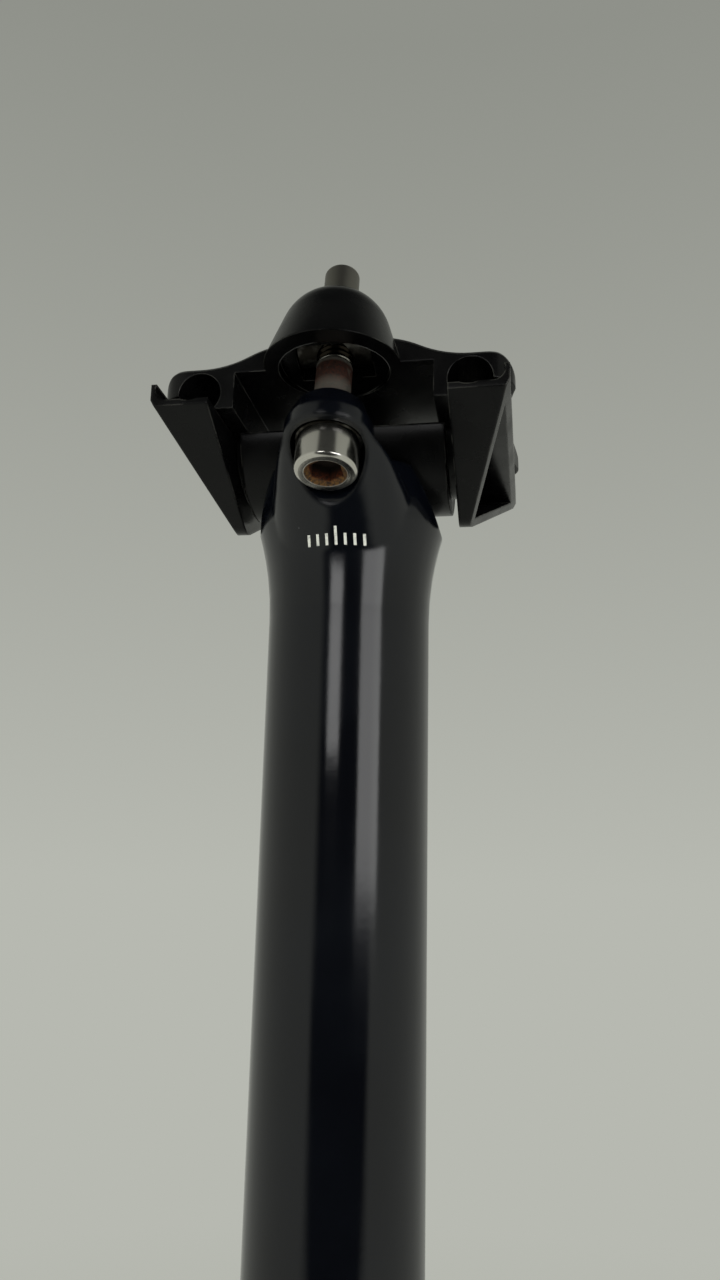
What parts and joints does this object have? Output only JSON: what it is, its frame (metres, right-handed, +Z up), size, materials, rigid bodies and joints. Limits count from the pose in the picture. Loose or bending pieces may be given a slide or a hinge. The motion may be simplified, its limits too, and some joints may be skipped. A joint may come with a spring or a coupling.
{
  "type": "bicycle seatpost",
  "caption": "Black bicycle seatpost tube with a flared forged head and a tilting two-bolt clamp that grips saddle rails between a half-drum cradle and a winged upper clamp.",
  "frame": {"origin": "centre of the tube's lower end", "axes": "+Z up along the tube, +Y to the rear along the saddle rails, +X to the right"},
  "size_m": [0.0578, 0.0632, 0.3761],
  "materials": {
    "gloss_black_paint": "gloss black paint on aluminium",
    "satin_black_clamp": "satin black on forged aluminium",
    "plated_steel": "plated steel with rust in the socket and on the shank",
    "plain_steel": "turned steel"
  },
  "bodies": {
    "post": {"post": "gloss_black_paint"},
    "clamp": {"lower_cradle": "satin_black_clamp", "upper_clamp": "satin_black_clamp"},
    "front_bolt_set": {"front_bolt": "plated_steel", "front_washer": "plain_steel"},
    "rear_bolt_set": {"rear_bolt": "plated_steel", "rear_washer": "plain_steel"},
    "front_nut": {"front_barrel_nut": "plain_steel"},
    "rear_nut": {"rear_barrel_nut": "plain_steel"}
  },
  "joints": [
    {"name": "clamp_tilt", "type": "hinge", "parent": "post", "child": "clamp", "pos_m": [0, 0, 0.35], "axis": [1, 0, 0], "range_deg": [-8, 8]},
    {"name": "front_bolt_swing", "type": "hinge", "parent": "post", "child": "front_bolt_set", "pos_m": [0, -0.02308, 0.33565], "axis": [1, 0, 0], "range_deg": [-2.4, 2.4]},
    {"name": "rear_bolt_swing", "type": "hinge", "parent": "post", "child": "rear_bolt_set", "pos_m": [0, 0.02308, 0.33565], "axis": [1, 0, 0], "range_deg": [-2.4, 2.4]},
    {"name": "front_nut_turn", "type": "hinge", "parent": "clamp", "child": "front_nut", "pos_m": [0, -0.01735, 0.36152], "axis": [1, 0, 0], "range_deg": [-5.9, 5.9]},
    {"name": "rear_nut_turn", "type": "hinge", "parent": "clamp", "child": "rear_nut", "pos_m": [0, 0.01735, 0.36152], "axis": [1, 0, 0], "range_deg": [-5.9, 5.9]}
  ],
  "couplings": [
    {"joint": "front_bolt_swing", "follows": "clamp_tilt", "ratio": 0.2827},
    {"joint": "rear_bolt_swing", "follows": "clamp_tilt", "ratio": 0.2827},
    {"joint": "front_nut_turn", "follows": "clamp_tilt", "ratio": -0.7173},
    {"joint": "rear_nut_turn", "follows": "clamp_tilt", "ratio": -0.7173}
  ]
}
